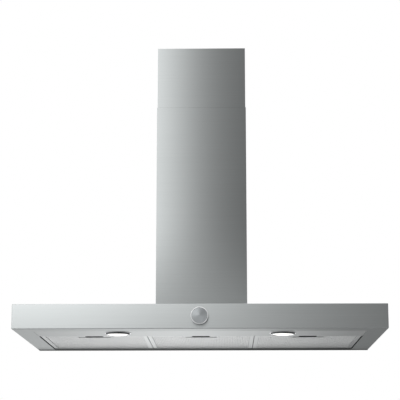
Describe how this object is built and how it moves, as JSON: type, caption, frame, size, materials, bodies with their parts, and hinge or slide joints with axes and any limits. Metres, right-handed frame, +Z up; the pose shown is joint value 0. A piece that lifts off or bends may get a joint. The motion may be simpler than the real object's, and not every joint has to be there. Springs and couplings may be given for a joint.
{
  "type": "wall mount range hood",
  "caption": "Slim stainless wall hood with a telescoping chimney, grease filters, downlights, a central knob and a blower inside.",
  "frame": {"origin": "on the wall plane, at the middle of the rear panel's lower edge, level with the canopy's underside", "axes": "+Z up, +Y into the wall (the front faces -Y), +X to the right seen from the front"},
  "size_m": [0.9, 0.5166, 0.788],
  "materials": {
    "stainless": "brushed stainless sheet",
    "filter_steel": "satin stainless frame",
    "filter_mesh": "expanded aluminium mesh",
    "chrome_trim": "polished chrome",
    "lamp_glass": "frosted glass",
    "lamp_casting": "die cast",
    "circuit_board": "solder mask",
    "spring_steel": "spring wire and strip",
    "knob_metal": "turned, with a bright bevel",
    "bright_steel": "zinc plated",
    "galvanised": "galvanised sheet",
    "black_plastic": "moulded",
    "housing_plastic": "moulded",
    "white_plastic": "moulded",
    "motor_casting": "cast, machined ends"
  },
  "bodies": {
    "hood": {"canopy_shell": "stainless", "back_panel": "stainless", "lamp_panel": "stainless", "filter_side_rails": "stainless", "filter_rear_rail": "stainless", "lower_chimney": "stainless", "lamp_bezel_left": "chrome_trim", "lamp_bezel_right": "chrome_trim", "lamp_lens_left": "lamp_glass", "lamp_lens_right": "lamp_glass", "lamp_body_left": "lamp_casting", "lamp_body_right": "lamp_casting", "led_boards": "circuit_board", "control_board": "circuit_board", "lamp_clips": "spring_steel", "switch_spring": "spring_steel", "switch_body": "black_plastic", "switch_bracket": "galvanised", "switch_nut": "bright_steel", "control_box": "black_plastic", "control_lid": "black_plastic", "lamp_driver": "white_plastic", "mount_plate": "galvanised", "blower_brackets": "galvanised", "blower_shell_left": "housing_plastic", "blower_shell_right": "housing_plastic", "motor_bracket": "galvanised", "motor": "motor_casting", "capacitor": "white_plastic", "terminal_box": "white_plastic", "cable_gland": "black_plastic", "outlet_spigot": "black_plastic", "flap_pin": "bright_steel", "chimney_brackets": "galvanised", "screws": "bright_steel"},
    "upper_section": {"upper_chimney": "stainless", "upper_bracket": "galvanised"},
    "left_filter": {"filter_frame_left": "filter_steel", "filter_mesh_left": "filter_mesh", "latch_tray_left": "filter_steel", "latch_spring_left": "spring_steel"},
    "left_latch": {"latch_slider_left": "filter_steel"},
    "centre_filter": {"filter_frame_centre": "filter_steel", "filter_mesh_centre": "filter_mesh", "latch_tray_centre": "filter_steel", "latch_spring_centre": "spring_steel"},
    "centre_latch": {"latch_slider_centre": "filter_steel"},
    "right_filter": {"filter_frame_right": "filter_steel", "filter_mesh_right": "filter_mesh", "latch_tray_right": "filter_steel", "latch_spring_right": "spring_steel"},
    "right_latch": {"latch_slider_right": "filter_steel"},
    "push_rod": {"switch_plunger": "black_plastic"},
    "control_knob": {"knob": "knob_metal", "knob_shaft": "bright_steel"},
    "fan_wheel": {"impeller": "black_plastic", "motor_shaft": "bright_steel", "impeller_nut": "bright_steel"},
    "front_flap": {"flap_front": "black_plastic"},
    "rear_flap": {"flap_rear": "black_plastic"}
  },
  "joints": [
    {"name": "chimney_slide", "type": "slide", "parent": "hood", "child": "upper_section", "axis": [0, 0, 1], "range_m": [-0.14, 0.3]},
    {"name": "left_filter_swing", "type": "hinge", "parent": "hood", "child": "left_filter", "pos_m": [-0.2675, -0.0513, 0.005], "axis": [1, 0, 0], "range_deg": [0, 60]},
    {"name": "left_latch_slide", "type": "slide", "parent": "left_filter", "child": "left_latch", "axis": [0, 1, 0], "range_m": [0, 0.005], "stiffness_N_per_m": 400, "springref_m": -0.004, "deforming": ["latch_spring_left"]},
    {"name": "centre_filter_swing", "type": "hinge", "parent": "hood", "child": "centre_filter", "pos_m": [0, -0.0513, 0.005], "axis": [1, 0, 0], "range_deg": [0, 60]},
    {"name": "centre_latch_slide", "type": "slide", "parent": "centre_filter", "child": "centre_latch", "axis": [0, 1, 0], "range_m": [0, 0.005], "stiffness_N_per_m": 400, "springref_m": -0.004, "deforming": ["latch_spring_centre"]},
    {"name": "right_filter_swing", "type": "hinge", "parent": "hood", "child": "right_filter", "pos_m": [0.2675, -0.0513, 0.005], "axis": [1, 0, 0], "range_deg": [0, 60]},
    {"name": "right_latch_slide", "type": "slide", "parent": "right_filter", "child": "right_latch", "axis": [0, 1, 0], "range_m": [0, 0.005], "stiffness_N_per_m": 400, "springref_m": -0.004, "deforming": ["latch_spring_right"]},
    {"name": "knob_push", "type": "slide", "parent": "hood", "child": "push_rod", "axis": [0, 1, 0], "range_m": [0, 0.002], "stiffness_N_per_m": 900, "springref_m": -0.002, "deforming": ["switch_spring"]},
    {"name": "knob_turn", "type": "hinge", "parent": "push_rod", "child": "control_knob", "pos_m": [0, -0.5096, 0.03], "axis": [0, 1, 0], "range_deg": [0, 135]},
    {"name": "fan_spin", "type": "hinge", "parent": "hood", "child": "fan_wheel", "pos_m": [0, -0.124, 0.17], "axis": [1, 0, 0], "continuous": true},
    {"name": "front_flap_swing", "type": "hinge", "parent": "hood", "child": "front_flap", "pos_m": [0, -0.124, 0.314], "axis": [-1, 0, 0], "range_deg": [0, 75]},
    {"name": "rear_flap_swing", "type": "hinge", "parent": "hood", "child": "rear_flap", "pos_m": [0, -0.124, 0.314], "axis": [1, 0, 0], "range_deg": [0, 75]}
  ]
}
